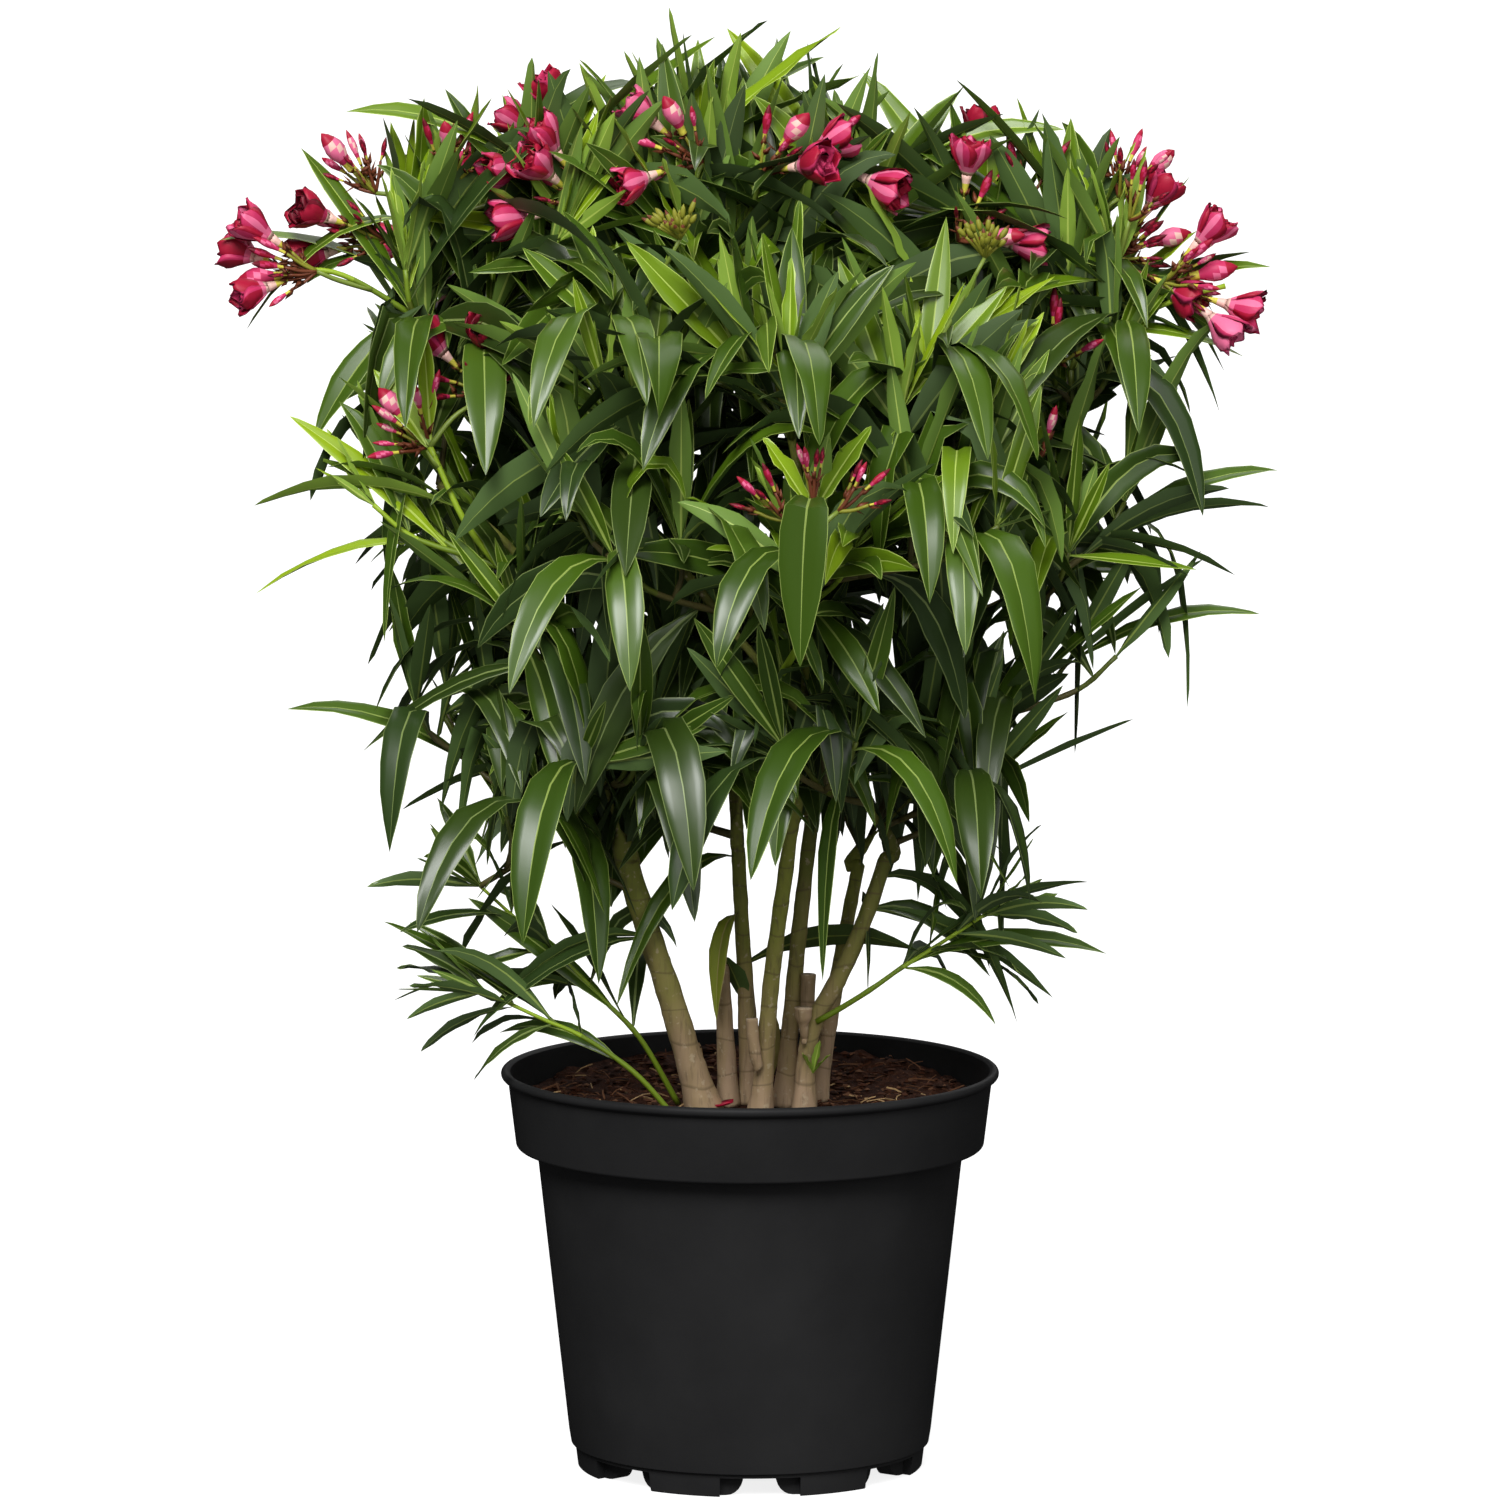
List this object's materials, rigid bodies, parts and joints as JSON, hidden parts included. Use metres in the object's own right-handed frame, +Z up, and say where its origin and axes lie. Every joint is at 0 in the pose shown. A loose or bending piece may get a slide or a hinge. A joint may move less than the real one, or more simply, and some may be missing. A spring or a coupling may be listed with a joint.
{
  "type": "potted oleander shrub",
  "caption": "Many-stemmed evergreen shrub with long narrow leaves and red blossoms at its shoot tips, growing from dark compost in a round black plastic nursery container with a banded rim.",
  "frame": {"origin": "middle of the container's underside, in the plane it stands on, which is also under the middle of the whole plant's box", "axes": "+Z up, +X to the right of someone facing the front, -Y towards the front of the plant"},
  "size_m": [0.59, 0.52, 0.823],
  "materials": {
    "pot": "satin",
    "soil": "matte",
    "bark": "matte",
    "cut_wood": "matte",
    "green_stem": "satin",
    "leaf": "satin",
    "young_leaf": "satin",
    "blossom": "satin"
  },
  "bodies": {
    "root": {"pot": "pot", "soil": "soil", "cane_left": "bark", "cane_centre": "bark", "cane_front": "bark", "cane_back": "bark", "cane_centre_right": "bark", "cane_right": "bark", "cane_back_right": "bark", "stub_left": "cut_wood", "stub_right": "cut_wood", "stub_front": "cut_wood", "stub_fork": "cut_wood", "low_shoot_left_front": "green_stem", "low_shoot_left_back": "green_stem", "low_shoot_right": "green_stem", "flower_stalk_left": "green_stem", "flower_stalk_right": "green_stem", "top_centre": "young_leaf", "top_left": "blossom", "top_right": "young_leaf", "shoulder_right": "leaf", "upper_left": "blossom", "upper_right": "blossom", "flower_arm_left": "blossom", "flower_arm_right": "blossom", "left_upper": "leaf", "front_left_upper": "leaf", "front_upper": "leaf", "front_right_upper": "leaf", "right_upper": "leaf", "left_bud_arm": "young_leaf", "left_middle": "leaf", "front_left": "leaf", "front_bud_spray": "young_leaf", "front_right": "leaf", "right_middle": "leaf", "left_low": "leaf", "left_droop": "leaf", "front_left_droop": "leaf", "front_droop": "leaf", "right_droop": "leaf", "right_low": "leaf", "low_sprig_left": "leaf", "low_sprig_right": "leaf", "heart_upper": "leaf", "heart_lower": "leaf", "back_top": "leaf", "back_left_upper": "blossom", "back_right_upper": "leaf", "back_middle": "leaf", "back_left": "leaf", "back_right": "leaf", "back_low": "leaf", "back_droop_left": "leaf", "back_droop_right": "leaf"}
  },
  "joints": []
}
